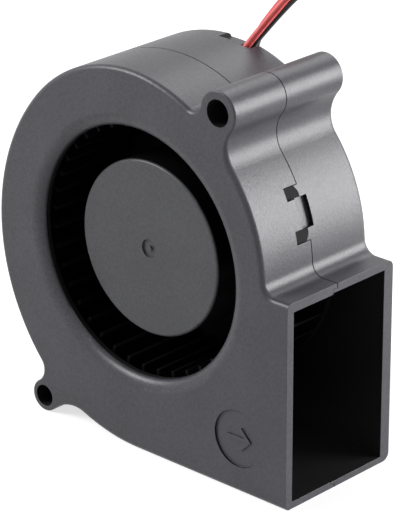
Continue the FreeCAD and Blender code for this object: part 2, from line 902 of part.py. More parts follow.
def insulator(core_face_y, side, collar_end_y):
    """Moulded end insulator: collar on the tube, a plate over each pole and an outer guard."""
    plate_end = core_face_y + side * insulator_plate
    guard_end = plate_end + side * (coil_build + guard_reach)
    plate = sorted((core_face_y, plate_end))
    guard = sorted((plate_end, guard_end))
    collar = sorted((core_face_y, collar_end_y))
    outer = core_radius - insulator_step
    body = ring(insulator_collar, tube_radius + seat_gap, collar[0], collar[1])
    body = body.multiFuse(poles(plate[0], plate[1], insulator_collar - sink, outer,
                                shoe_span - insulator_span_step))
    half = guard_width / 2
    sector = block((-half, half), (guard[0] - beyond, guard[1] + beyond), (0, far))
    wall = ring(outer, outer - guard_wall, guard[0], guard[1]).common(sector)
    return body.multiFuse(on_poles(wall)).removeSplitter()


def stator_windings():
    """Four copper coils, each a rounded frame round its pole."""
    inner_x = pole_width / 2 + coil_clearance
    outer_x = inner_x + coil_build
    low = core_front - insulator_plate - coil_clearance
    high = core_rear + insulator_plate + coil_clearance
    shoe = core_radius - insulator_step - shoe_thickness - coil_clearance
    coil_outer_radius = math.sqrt(shoe ** 2 - outer_x ** 2)
    outer = block((-outer_x, outer_x), (low - coil_build, high + coil_build),
                  (coil_inner_radius, coil_outer_radius))
    corners = [edge for edge in outer.Edges if edge.BoundBox.ZLength > beyond]
    outer = outer.makeFillet(coil_build * coil_corner_share, corners)
    hole = block((-inner_x, inner_x), (low, high), (coil_inner_radius - beyond, coil_outer_radius + beyond))
    return on_poles(outer.cut(hole))


def pin_places():
    return [polar(axis_point, pin_circle, angle) for angle in pin_angles]


def pin_box(place, y_from, y_to):
    half = pin_side / 2
    return block((place[0] - half, place[0] + half), (y_from, y_to), (place[1] - half, place[1] + half))


def terminal_pins():
    """Pins that join the coils to the board."""
    return [pin_box(place, board_front - pin_length, board_rear + pin_stub) for place in pin_places()]


def circuit_board():
    board = ring(board_radius, tube_boss_radius + board_hole_gap, board_front, board_rear)
    for place in pin_places():
        board = board.cut(drum(pin_hole_radius, board_front - beyond, board_rear + beyond, place))
    return board


def on_board(shape, circle, angle):
    """Move a shape from the axis to its place on the board, square to the radius there."""
    shape.rotate(V(0, 0, 0), V(0, 1, 0), 90 - angle)
    shape.translate(at(polar(axis_point, circle, angle)))
    return shape


def driver_chip():
    """Motor driver with its Hall sensor: moulded body and four legs."""
    rear = board_front - chip_lift
    body = block((-chip_length / 2, chip_length / 2), (rear - chip_height, rear),
                 (-chip_width / 2, chip_width / 2))
    legs = []
    for number in range(chip_leg_count):
        x = (number - (chip_leg_count - 1) / 2) * chip_leg_pitch
        legs.append(block((x - chip_leg_width / 2, x + chip_leg_width / 2),
                          (board_front - chip_leg_height, board_front),
                          (chip_width / 2, chip_width / 2 + chip_leg_reach)))
    return on_board(body.multiFuse(legs), chip_circle, chip_angle)


def board_components():
    """Capacitors, diode and resistors on the front of the board: angle, length, width and height."""
    pieces = []
    for angle, length, width, height in ((200.0, 1.6, 1.0, 1.2), (232.0, 1.6, 1.0, 1.2),
                                         (285.0, 2.0, 1.2, 1.0), (320.0, 1.6, 0.8, 0.6),
                                         (0.0, 1.6, 0.8, 0.6)):
        piece = block((-length / 2, length / 2), (board_front - height, board_front), (-width / 2, width / 2))
        pieces.append(on_board(piece, component_circle, angle))
    return pieces


def solder_joints():
    """Cones of solder on the rear of the board at the pins."""
    joints = []
    for place in pin_places():
        joint = Part.makeCone(solder_foot, solder_tip, solder_height, at(place, board_rear), V(0, 1, 0))
        joints.append(joint.cut(pin_box(place, board_rear - beyond, board_rear + beyond)))
    return joints


arc_share = 0.45


def tube_along(points, radius):
    """Round tube on straight runs joined by tangent arcs, as large as the runs allow."""
    edges = []
    here = points[0]
    radii = []
    for index in range(1, len(points) - 1):
        corner = points[index]
        back = points[index - 1] - corner
        ahead = points[index + 1] - corner
        shorter = min(back.Length, ahead.Length)
        turn = math.pi - back.getAngle(ahead)
        reach = arc_share * shorter
        radii.append(reach / math.tan(turn / 2))
        start = corner + back.normalize() * reach
        end = corner + ahead.normalize() * reach
        inward = (back + ahead).normalize()
        centre_way = radii[-1] / math.cos(turn / 2) - radii[-1]
        middle = corner + inward * centre_way
        edges.append(Part.makeLine(here, start))
        edges.append(Part.Arc(start, middle, end).toShape())
        here = end
    edges.append(Part.makeLine(here, points[-1]))
    path = Part.Wire(edges)
    circle = Part.Circle(points[0], (points[1] - points[0]).normalize(), radius).toShape()
    tube = path.makePipeShell([Part.Wire(circle)], True, False)
    section = math.pi * radius ** 2
    print("tube length %.1f, volume over section times length %.4f, radii %s" % (
        path.Length, tube.Volume / (section * path.Length), [round(r, 1) for r in radii]))
    return tube


# Routes of the leads: points chosen by hand, from the board to the exit, the coil and the connector
lead_exits = {
    "red": V(red_exit_across, housing_depth - red_exit_inset, roof_z + red_exit_rise),
    "black": V(black_exit_across, housing_depth - black_exit_inset, roof_z + black_exit_rise),
}
held_routes = {
    "red": [V(lead_places["red"], lead_y, lead_insulation_start),
            V(lead_places["red"], lead_y, roof_z - red_turn_drop), lead_exits["red"]],
    "black": [V(lead_places["black"], lead_y, lead_insulation_start),
              V(lead_places["black"], lead_y, roof_z - black_turn_drop),
              V(black_bend_across, housing_depth - black_bend_inset, roof_z - black_bend_drop),
              lead_exits["black"]],
}
free_routes = {
    "red": [lead_exits["red"], V(7.3, 31.2, 42.5), V(10.0, 34.4, 47.7), V(10.2, 39.6, 51.2),
            V(6.3, 44.8, 50.6), V(0.6, 47.3, 45.6), V(-4.8, 45.8, 38.2), V(-9.6, 43.4, 30.6),
            V(-11.0, 42.4, 18.0), V(-9.9, 43.6, 3.0), V(-6.9, 46.8, -12.0), V(-4.3, 49.4, -23.5),
            V(-4.0, 50.5, -30.3), V(-5.7, 51.0, -34.8), V(-8.7, 50.9, -36.8), V(-11.7, 50.55, -36.9)],
    "black": [lead_exits["black"], V(6.9, 32.29, 41.45), V(10.0, 35.6, 46.7), V(11.5, 40.3, 50.0),
              V(7.4, 45.4, 49.7), V(1.7, 48.0, 44.8), V(-4.5, 47.2, 37.4), V(-9.6, 44.9, 29.9),
              V(-10.5, 44.0, 18.0), V(-9.0, 45.1, 3.0), V(-5.6, 48.1, -12.0), V(-2.7, 50.4, -24.0),
              V(-2.2, 51.3, -32.0), V(-3.9, 51.7, -37.0), V(-7.2, 51.3, -39.4), V(-10.5, 50.75, -39.8)],
}
tail_routes = {
    "red": [V(-10.2, 34.0, -35.5), V(-7.6, 34.3, -36.1), V(-4.8, 35.5, -37.8), V(-2.0, 35.85, -38.1)],
    "black": [V(-10.2, 33.95, -38.3), V(-6.0, 33.5, -38.2), V(-2.0, 33.35, -38.1)],
}


def held_lead(colour):
    """Stretch of a lead that the housing holds, with its bare end on the board."""
    bare_y = board_rear + conductor_radius + conductor_gap
    bare = Part.makeCylinder(conductor_radius, lead_insulation_start - lead_solder_z,
                             V(lead_places[colour], bare_y, lead_solder_z), V(0, 0, 1))
    return tube_along(held_routes[colour], lead_radius).fuse(bare)


def coil_floor(layer):
    """Height of the underside of a coil: 0 for the lower one, 1 for the upper one."""
    return -base_radius + tie_thickness + tie_gap + layer * coil_height


def lead_coil(layer):
    """Outer shape of the wound part of one lead."""
    low = coil_floor(layer)
    outer = Part.makeCylinder(coil_outer, coil_height, V(coil_centre[0], coil_centre[1], low))
    inner = Part.makeCylinder(coil_inner, coil_height + 2 * beyond,
                              V(coil_centre[0], coil_centre[1], low - beyond))
    return outer.cut(inner)


def coil_tie():
    """Flat tie bent round both coils on the side away from the connector."""
    low = coil_floor(0) - tie_gap
    high = coil_floor(2) + tie_gap
    near = coil_centre[0] - math.sqrt(coil_inner ** 2 - (tie_width / 2) ** 2) + tie_gap
    outside = coil_centre[0] - coil_outer - tie_gap
    across = (coil_centre[1] - tie_width / 2, coil_centre[1] + tie_width / 2)
    strap = block((outside - tie_thickness, near + tie_thickness), across,
                  (low - tie_thickness, high + tie_thickness))
    return strap.cut(block((outside, near), (across[0] - beyond, across[1] + beyond), (low, high)))


def contact_places():
    """Depth of each contact's middle line."""
    return [connector_y + side * connector_pitch / 2 for side in (-1, 1)]


def connector_housing():
    """Two-way crimp housing: cavities for the contacts, windows for their lances and a polarising rib."""
    middle_z = tail_routes["black"][-1].z
    low_z = middle_z - connector_height / 2
    high_z = middle_z + connector_height / 2
    end_x = connector_x + connector_length
    body = block((connector_x, end_x), (connector_y - connector_width / 2, connector_y + connector_width / 2),
                 (low_z, high_z))
    long_edges = [edge for edge in body.Edges if edge.BoundBox.XLength > beyond]
    body = body.makeFillet(connector_edge_round, long_edges)
    key_y = connector_y + key_offset
    body = body.fuse(block((connector_x + key_start, end_x), (key_y, key_y + key_width),
                           (high_z - sink, high_z + key_height)))
    half = contact_side / 2 + contact_gap
    lance_x = connector_x + lance_start
    for y in contact_places():
        body = body.cut(block((connector_x - beyond, end_x + beyond), (y - half, y + half),
                              (middle_z - half, middle_z + half)))
        body = body.cut(block((lance_x, lance_x + lance_length), (y - lance_width / 2, y + lance_width / 2),
                              (middle_z, high_z + beyond)))
    return body


def connector_contacts():
    """Box contacts crimped to the lead ends, each in its cavity."""
    contacts = []
    start = connector_x + lead_seat
    end = start + contact_length
    z = tail_routes["black"][-1].z
    half = contact_side / 2
    socket_half = contact_socket / 2
    for y in contact_places():
        box = block((start, end), (y - half, y + half), (z - half, z + half))
        socket = block((start + contact_socket_start, end + beyond), (y - socket_half, y + socket_half),
                       (z - socket_half, z + socket_half))
        contacts.append(box.cut(socket))
    return contacts


def lead_tail(colour):
    """Last stretch of a lead, from its coil to its contact in the connector."""
    route = tail_routes[colour]
    tail = tube_along(route, lead_radius)
    return tail.fuse(Part.makeCylinder(lead_radius, lead_seat, route[-1], V(1, 0, 0)))


def row_place():
    """Shift from the modelling axes to the origin at the housing's bottom centre."""
    return V(-(outlet_reach + left_edge) / 2, -housing_depth / 2, base_radius)


def compound(shapes):
    return shapes[0] if len(shapes) == 1 else Part.makeCompound(shapes)


def build():
    closed = rounded_housing()
    front_cage, front_balls = ball_cage(front_bearing_y)
    rear_cage, rear_balls = ball_cage(rear_bearing_y)
    return {
        "front_housing": front_housing(closed),
        "rear_housing": rear_housing(closed),
        "impeller": impeller(),
        "rotor_yoke": rotor_yoke(),
        "ring_magnet": ring_magnet(),
        "shaft": shaft(),
        "thrust_washer": thrust_washer(),
        "retaining_clip": retaining_clip(),
        "preload_washer": preload_washer(),
        "bearing_tube": bearing_tube(),
        "front_outer_race": outer_race(front_bearing_y),
        "rear_outer_race": outer_race(rear_bearing_y),
        "front_inner_race": inner_race(front_bearing_y),
        "rear_inner_race": inner_race(rear_bearing_y),
        "front_ball_cage": front_cage,
        "rear_ball_cage": rear_cage,
        "front_balls": compound(front_balls),
        "rear_balls": compound(rear_balls),
        "bearing_shields": compound(bearing_shields(front_bearing_y) + bearing_shields(rear_bearing_y)),
        "stator_core": stator_core(),
        "upper_insulator": insulator(core_front, -1, tube_front + upper_collar_inset),
        "lower_insulator": insulator(core_rear, 1, tube_boss_front),
        "stator_windings": compound(stator_windings()),
        "terminal_pins": compound(terminal_pins()),
        "circuit_board": circuit_board(),
        "driver_chip": driver_chip(),
        "board_components": compound(board_components()),
        "solder_joints": compound(solder_joints()),
        "red_lead_inside": held_lead("red"),
        "black_lead_inside": held_lead("black"),
        "red_lead": tube_along(free_routes["red"], lead_radius),
        "black_lead": tube_along(free_routes["black"], lead_radius),
        "red_lead_coil": lead_coil(1),
        "black_lead_coil": lead_coil(0),
        "coil_tie": coil_tie(),
        "red_lead_tail": lead_tail("red"),
        "black_lead_tail": lead_tail("black"),
        "connector_housing": connector_housing(),
        "connector_contacts": compound(connector_contacts()),
    }


def main():
    os.makedirs("parts", exist_ok=True)
    for name, shape in build().items():
        placed = shape.copy()
        placed.translate(row_place())
        print(name, len(placed.Solids), "solids, valid", placed.isValid(), "volume %.2f" % placed.Volume)
        placed.exportStep("parts/" + name + ".step")


main()
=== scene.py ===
import bpy
import json
import math
from mathutils import Matrix, Vector
from mathutils.bvhtree import BVHTree


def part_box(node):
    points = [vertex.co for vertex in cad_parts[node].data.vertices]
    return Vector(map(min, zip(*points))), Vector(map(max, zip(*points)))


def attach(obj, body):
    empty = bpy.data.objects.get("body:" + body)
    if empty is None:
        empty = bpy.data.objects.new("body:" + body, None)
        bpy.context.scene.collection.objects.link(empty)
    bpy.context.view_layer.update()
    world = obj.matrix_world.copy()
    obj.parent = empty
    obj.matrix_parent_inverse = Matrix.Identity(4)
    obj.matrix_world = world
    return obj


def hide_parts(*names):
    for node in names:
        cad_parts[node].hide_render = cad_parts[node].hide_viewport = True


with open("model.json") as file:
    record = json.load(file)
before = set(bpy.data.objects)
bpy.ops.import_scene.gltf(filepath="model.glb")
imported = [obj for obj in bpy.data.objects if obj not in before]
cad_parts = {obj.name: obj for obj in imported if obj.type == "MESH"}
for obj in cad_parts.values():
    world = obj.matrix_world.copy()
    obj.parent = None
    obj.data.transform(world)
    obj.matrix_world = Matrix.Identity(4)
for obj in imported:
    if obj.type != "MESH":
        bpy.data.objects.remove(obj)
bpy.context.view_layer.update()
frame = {"nodes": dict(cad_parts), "record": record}
nodes = frame["nodes"]

MM = 0.001

# Camera, fitted to the photograph
IMAGE_WIDTH = 400
IMAGE_HEIGHT = 516
SENSOR = 36.0
CAMERA_PLACE = Vector((0.35356, -0.37550, 0.25235))
CAMERA_YAW = 0.75279
CAMERA_PITCH = 0.39902
CAMERA_ROLL = -0.00328
CAMERA_REACH = (0.01, 10.0)
FOCAL_PIXELS = 2891.5
MIDDLE_PIXEL = (197.98, 262.96)

# Lamps: name, place, size and power in watts, all aimed at one point of the fan
LAMPS = (
    ("right_softbox", (0.36, 0.37, 0.16), 0.32, 4.1),
    ("left_softbox", (-0.66, -0.62, 0.66), 0.5, 11.0),
    ("rear_top_softbox", (-0.14, 0.55, 0.6), 0.45, 1.7),
)
LAMP_AIM = Vector((0.0, 0.0, 0.04))

# Floor and world: the floor's half width, grey and glow, and the world's strength as light and as background
FLOOR_HALF = 2.0
FLOOR_GREY = 0.5
FLOOR_GLOW = 0.7
WORLD_LIGHT = 0.16
WORLD_WHITE = 1.0

# Leads
LEAD_DIAMETER = 1.4 * MM
LEAD_SEGMENTS = 6
LEAD_ROUNDNESS = 5

# Coil of the leads: radii of its outer and inner turns, height of a layer, turns, steps in a turn, and the
# degrees where it starts and over which it changes to the next row
COIL_CENTRE = Vector((-0.0149, 0.0270))
COIL_RADII = (8.0 * MM, 6.5 * MM)
COIL_LAYER = 1.45 * MM
COIL_TURNS = 3.5
COIL_STEPS = 24
COIL_START = 90.0
COIL_STEP_OVER = 30.0
COIL_LOW = {"red": 4.0 * MM, "black": 1.1 * MM}

# Routes of the free leads, from the slot in the housing to the coil
FREE_ROUTES = {
    "red": [
        (0.0035, 0.01327, 0.0778), (0.0067, 0.0162, 0.0834), (0.0099, 0.0194, 0.0886),
        (0.0101, 0.0246, 0.0921), (0.0058, 0.0298, 0.0915), (0.0006, 0.0322, 0.0865),
        (-0.0049, 0.0306, 0.0791), (-0.0098, 0.0284, 0.0715), (-0.0119, 0.0274, 0.0589),
        (-0.0108, 0.0286, 0.0439), (-0.0078, 0.0318, 0.0289), (-0.0052, 0.0344, 0.0174),
        (-0.0049, 0.0355, 0.0106), (-0.0066, 0.0360, 0.0061), (-0.0096, 0.0359, 0.0041),
        (-0.0126, 0.03555, 0.0040)],
    "black": [
        (0.0031, 0.01437, 0.07675), (0.0064, 0.01729, 0.08235), (0.0101, 0.0206, 0.0876),
        (0.0114, 0.0253, 0.0909), (0.0069, 0.0304, 0.0906), (0.0012, 0.0336, 0.0856),
        (-0.0058, 0.0325, 0.0783), (-0.0107, 0.0299, 0.0708), (-0.0114, 0.0290, 0.0589),
        (-0.0099, 0.0301, 0.0439), (-0.0065, 0.0331, 0.0289), (-0.0036, 0.0354, 0.0169),
        (-0.0031, 0.0363, 0.0089), (-0.0048, 0.0367, 0.0039), (-0.0081, 0.0363, 0.0015),
        (-0.0114, 0.03575, 0.0011)],
}

# Routes from the coil to the connector
TAIL_ROUTES = {
    "red": [
        (-0.0111, 0.0190, 0.0054), (-0.0085, 0.0193, 0.0048), (-0.0057, 0.0205, 0.0031),
        (-0.0029, 0.02085, 0.0028), (-0.0009, 0.02085, 0.0028)],
    "black": [
        (-0.0111, 0.01895, 0.0026), (-0.0069, 0.0185, 0.0027), (-0.0029, 0.01835, 0.0028),
        (-0.0009, 0.01835, 0.0028)],
}

# Painted shade on inner faces: how far an inner face may look, how latch prongs slope, and the hub's wall and
# skin
LONGEST_SIGHT = 90 * MM
SIGHT_START = 0.01 * MM
PRONG_SLOPE = (-0.4, -0.1)
HUB_WALL = 1.1 * MM
HUB_SKIN = 0.75 * MM

# Inlet: its radius, the solid's lip round, and how wide and deep the photograph's lip is
INLET_RADIUS = 25.2 * MM
SOLID_LIP = 1.1 * MM
WIDE_LIP = (2.6 * MM, 1.6 * MM)
LIP_MARGIN = 0.02 * MM

# Parting line of the shells: where the front shell ends, and the width of the painted shade line along it
SEAM_PLACE = -1.0 * MM
SEAM_WIDTH = 0.18 * MM

# Plastic: size of the flow patches, their share in the tone and in the relief, the part of the noise that
# the tone spans, size of the speckle against the grain, and how far the roughness strays
FLOW_PATCH = 14 * MM
PATCH_SHARE = 0.35
PATCH_RELIEF = 0.2
TONE_SPAN = (0.32, 0.68)
SPECKLE_SIZE = 1.4
ROUGHNESS_SPREAD = 0.06

# Bands: pitch of the stator's sheets and of the wire, and the factor that the wave texture has in it
SHEET_PITCH = 0.5 * MM
WIRE_PITCH = 0.25 * MM
WAVE_BASE = 20

# Colours of the fan's plastics, and the near-black colours of painted shade on its inner faces
HOUSING_GREY = (0.05, 0.049, 0.058)
IMPELLER_GREY = (0.0465, 0.047, 0.0515)
# Painted shade: near-black colour on shell faces inside the air path and on the latch prongs' slopes, where
# the same plastic lies in shade
INSIDE_PAINTED_SHADE = (0.013, 0.013, 0.0135)
# Painted shade: darker still, on the impeller's blades and its faces behind the hub face
BLADE_PAINTED_SHADE = (0.004, 0.004, 0.0043)


def add_object(name, data):
    """New object in the scene."""
    made = bpy.data.objects.new(name, data)
    bpy.context.scene.collection.objects.link(made)
    return made


def make_camera():
    """Camera at the photograph's viewing angle."""
    sin_yaw, cos_yaw = math.sin(CAMERA_YAW), math.cos(CAMERA_YAW)
    sin_pitch, cos_pitch = math.sin(CAMERA_PITCH), math.cos(CAMERA_PITCH)
    back = Vector((sin_yaw * cos_pitch, -cos_yaw * cos_pitch, sin_pitch))
    right = Vector((cos_yaw, sin_yaw, 0.0))
    up = back.cross(right)
    sin_roll, cos_roll = math.sin(CAMERA_ROLL), math.cos(CAMERA_ROLL)
    rolled_right = cos_roll * right + sin_roll * up
    rolled_up = cos_roll * up - sin_roll * right
    data = bpy.data.cameras.new("camera")
    data.sensor_width = SENSOR
    data.lens = FOCAL_PIXELS / IMAGE_HEIGHT * SENSOR
    data.shift_x = (IMAGE_WIDTH / 2 - MIDDLE_PIXEL[0]) / IMAGE_HEIGHT
    data.shift_y = (MIDDLE_PIXEL[1] - IMAGE_HEIGHT / 2) / IMAGE_HEIGHT
    data.clip_start, data.clip_end = CAMERA_REACH
    camera = add_object("camera", data)
    turn = Matrix((rolled_right, rolled_up, back)).transposed()
    camera.matrix_world = Matrix.Translation(CAMERA_PLACE) @ turn.to_4x4()
    bpy.context.scene.camera = camera


def coil_points(low):
    """Turns of a coil: outer low turn, inner low turn, inner high turn, then out to the outer one."""
    outer, inner = COIL_RADII
    step = 360.0 / COIL_STEPS
    swell = 1.0 / math.cos(math.radians(step / 2))
    changes = [turn * (360.0 - COIL_STEP_OVER) for turn in (1, 2, 3)]

    def passed(turned, number):
        return min(max((turned - changes[number]) / COIL_STEP_OVER, 0.0), 1.0)

    points = []
    for index in range(1, round(COIL_TURNS * COIL_STEPS)):
        turned = index * step
        radius = outer + (inner - outer) * (passed(turned, 0) - passed(turned, 2))
        height = low + COIL_LAYER * passed(turned, 1)
        angle = math.radians(COIL_START + turned)
        points.append((COIL_CENTRE.x + radius * swell * math.cos(angle),
                       COIL_CENTRE.y + radius * swell * math.sin(angle), height))
    return points


def make_lead(colour):
    """One free lead: route, coil and tail on one smooth curve."""
    points = FREE_ROUTES[colour] + coil_points(COIL_LOW[colour]) + TAIL_ROUTES[colour]
    curve = bpy.data.curves.new(colour + "_free_lead", "CURVE")
    curve.dimensions = "3D"
    spline = curve.splines.new("NURBS")
    spline.points.add(len(points) - 1)
    for point, place in zip(spline.points, points):
        point.co = (*place, 1.0)
        point.radius = LEAD_DIAMETER / 2
    spline.order_u = 3
    spline.use_endpoint_u = True
    spline.resolution_u = LEAD_SEGMENTS
    curve.bevel_depth = 1.0
    curve.bevel_resolution = LEAD_ROUNDNESS
    curve.use_fill_caps = True
    lead = add_object(colour + "_free_lead", curve)
    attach(lead, "housing")
    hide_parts(colour + "_lead", colour + "_lead_coil", colour + "_lead_tail")
    return lead


class Graph:
    """Short way to wire the nodes of one material."""

    def __init__(self, name):
        self.material = bpy.data.materials.new(name)
        self.material.use_nodes = True
        self.tree = self.material.node_tree
        self.shader = self.tree.nodes["Principled BSDF"]

    def node(self, kind, **settings):
        """Node with these input values and properties."""
        made = self.tree.nodes.new(kind)
        for key, value in settings.items():
            if key in made.inputs:
                made.inputs[key].default_value = value
            else:
                setattr(made, key, value)
        return made

    def link(self, source, target):
        """Wire from an output to an input."""
        self.tree.links.new(source, target)

    def set(self, name, value):
        """Value of one of the shader's inputs."""
        self.shader.inputs[name].default_value = value

    def place(self):
        """Object coordinates, in metres."""
        return self.node("ShaderNodeTexCoord").outputs["Object"]

    def noise(self, size, detail=3.0, roughness=0.5):
        """Noise value whose grains are about size metres across."""
        made = self.node("ShaderNodeTexNoise", Scale=1.0 / size, Detail=detail, Roughness=roughness)
        self.link(self.place(), made.inputs["Vector"])
        return made.outputs["Fac"]

    def cells(self, size):
        """Distance to the middle of cells that are about size metres across."""
        made = self.node("ShaderNodeTexVoronoi", Scale=1.0 / size)
        self.link(self.place(), made.inputs["Vector"])
        return made.outputs["Distance"]

    def bands(self, direction, pitch, distortion):
        """Value of bands that lie a pitch apart."""
        made = self.node("ShaderNodeTexWave", bands_direction=direction,
                         Scale=2 * math.pi / pitch / WAVE_BASE, Distortion=distortion)
        self.link(self.place(), made.inputs["Vector"])
        return made.outputs["Fac"]

    def blend(self, value, low, high, low_colour, high_colour):
        """Colour ramp between two values of a texture."""
        ramp = self.node("ShaderNodeValToRGB")
        first, last = ramp.color_ramp.elements
        first.position, last.position = low, high
        first.color = (*low_colour, 1.0)
        last.color = (*high_colour, 1.0)
        self.link(value, ramp.inputs["Fac"])
        return ramp.outputs["Color"]

    def span(self, value, low, high):
        """Texture value mapped to a range."""
        made = self.node("ShaderNodeMapRange")
        made.inputs["To Min"].default_value = low
        made.inputs["To Max"].default_value = high
        self.link(value, made.inputs["Value"])
        return made.outputs["Result"]

    def maths(self, operation, first, second):
        """Result for two values, each a number or a socket."""
        made = self.node("ShaderNodeMath", operation=operation)
        for number, value in enumerate((first, second)):
            if isinstance(value, (int, float)):
                made.inputs[number].default_value = value
            else:
                self.link(value, made.inputs[number])
        return made.outputs["Value"]

    def bump(self, height, depth, edge=None):
        """Height texture as a bump of that depth in metres, over edges softened by a small radius."""
        made = self.node("ShaderNodeBump", Strength=1.0, Distance=depth)
        self.link(height, made.inputs["Height"])
        if edge:
            soft = self.node("ShaderNodeBevel", samples=4, Radius=edge)
            self.link(soft.outputs["Normal"], made.inputs["Normal"])
        self.link(made.outputs["Normal"], self.shader.inputs["Normal"])

    def darkened(self, colour, depth):
        """Painted shade: colour and reflection turned black behind a depth along the shaft, a dark line where
        the two shells meet.
        """
        parts = self.node("ShaderNodeSeparateXYZ")
        self.link(self.place(), parts.inputs["Vector"])
        outside_seam_shade = self.maths("LESS_THAN", parts.outputs["Y"], depth)
        gloss = self.shader.inputs["Specular IOR Level"]
        self.link(self.maths("MULTIPLY", outside_seam_shade, gloss.default_value), gloss)
        scaled = self.node("ShaderNodeVectorMath", operation="SCALE")
        self.link(colour, scaled.inputs[0])
        self.link(outside_seam_shade, scaled.inputs["Scale"])
        return scaled.outputs["Vector"]

    def colour(self, source):
        """Socket for the shader's base colour."""
        self.link(source, self.shader.inputs["Base Color"])

    def roughness(self, source):
        """Socket for the shader's roughness."""
        self.link(source, self.shader.inputs["Roughness"])


def shade(colour, factor):
    """Colour made darker or lighter."""
    return tuple(channel * factor for channel in colour)


def moulded_plastic(name, colour, rough, grain=0.28 * MM, depth=0.022 * MM, edge=0.16 * MM, spread=0.14,
                    gloss=0.5, seam=None):
    """Injection moulded thermoplastic with an eroded grain and slight flow patches, with painted shade behind
    its seam when a seam is given.
    """
    g = Graph(name)
    patches = g.noise(FLOW_PATCH, detail=2.0)
    speckle = g.noise(grain * SPECKLE_SIZE, detail=2.0)
    mixed = g.maths("ADD", g.maths("MULTIPLY", patches, PATCH_SHARE),
                    g.maths("MULTIPLY", speckle, 1 - PATCH_SHARE))
    g.set("Specular IOR Level", gloss)
    tone = g.blend(mixed, *TONE_SPAN, shade(colour, 1 - spread), shade(colour, 1 + spread))
    # painted shade: a black line behind the seam, where the gap between the shells is in shade
    g.colour(tone if seam is None else g.darkened(tone, seam))
    g.roughness(g.span(g.noise(grain * 2), rough - ROUGHNESS_SPREAD, rough + ROUGHNESS_SPREAD))
    grains = g.noise(grain, detail=4.0, roughness=0.6)
    relief = g.maths("ADD", grains, g.maths("MULTIPLY", patches, PATCH_RELIEF))
    g.bump(relief, depth, edge)
    return g.material


def housing_plastic(name, seam=None):
    """Plastic of a housing shell."""
    return moulded_plastic(name, HOUSING_GREY, 0.37, grain=0.36 * MM, depth=0.04 * MM, spread=0.3,
                           gloss=0.42, seam=seam)


def smooth_metal(name, colour, rough, streak=0.5 * MM):
    """Ground or drawn metal with fine marks."""
    g = Graph(name)
    g.set("Metallic", 1.0)
    marks = g.noise(streak, detail=5.0)
    g.colour(g.blend(marks, 0.3, 0.7, shade(colour, 0.88), shade(colour, 1.05)))
    g.roughness(g.span(marks, rough - 0.05, rough + 0.08))
    g.bump(marks, 0.004 * MM, edge=0.08 * MM)
    return g.material


def laminated_steel(name, colour):
    """Edges of thin steel sheets stacked along the shaft."""
    g = Graph(name)
    g.set("Metallic", 1.0)
    sheets = g.bands("Y", SHEET_PITCH, distortion=0.3)
    g.colour(g.blend(sheets, 0.2, 0.6, shade(colour, 0.5), colour))
    g.roughness(g.span(g.noise(1 * MM), 0.4, 0.55))
    g.bump(sheets, 0.03 * MM)
    return g.material


def wound_wire(name, colour):
    """Enamelled wire lying in turns round the pole."""
    g = Graph(name)
    g.set("Metallic", 0.85)
    turns = g.bands("DIAGONAL", WIRE_PITCH, distortion=1.0)
    g.colour(g.blend(turns, 0.1, 0.7, shade(colour, 0.45), colour))
    g.roughness(g.span(turns, 0.45, 0.25))
    g.bump(turns, 0.05 * MM)
    return g.material


def solder_mask(name, colour):
    """Printed board: glossy mask with slightly raised tracks under it."""
    g = Graph(name)
    tracks = g.cells(3 * MM)
    g.colour(g.blend(tracks, 0.35, 0.42, colour, shade(colour, 1.5)))
    g.roughness(g.span(g.noise(2 * MM), 0.28, 0.4))
    g.bump(tracks, 0.03 * MM)
    return g.material


def extruded_vinyl(name, colour, rough):
    """Wire insulation: smooth, faintly waxy, with small handling marks."""
    g = Graph(name)
    marks = g.noise(1.1 * MM, detail=4.0)
    g.colour(g.blend(marks, 0.3, 0.75, shade(colour, 0.86), shade(colour, 1.06)))
    g.roughness(g.span(g.noise(0.6 * MM), rough - 0.06, rough + 0.1))
    g.bump(g.noise(0.5 * MM), 0.012 * MM)
    g.set("Subsurface Weight", 0.12)
    g.set("Subsurface Radius", (0.8 * MM, 0.3 * MM, 0.3 * MM))
    return g.material


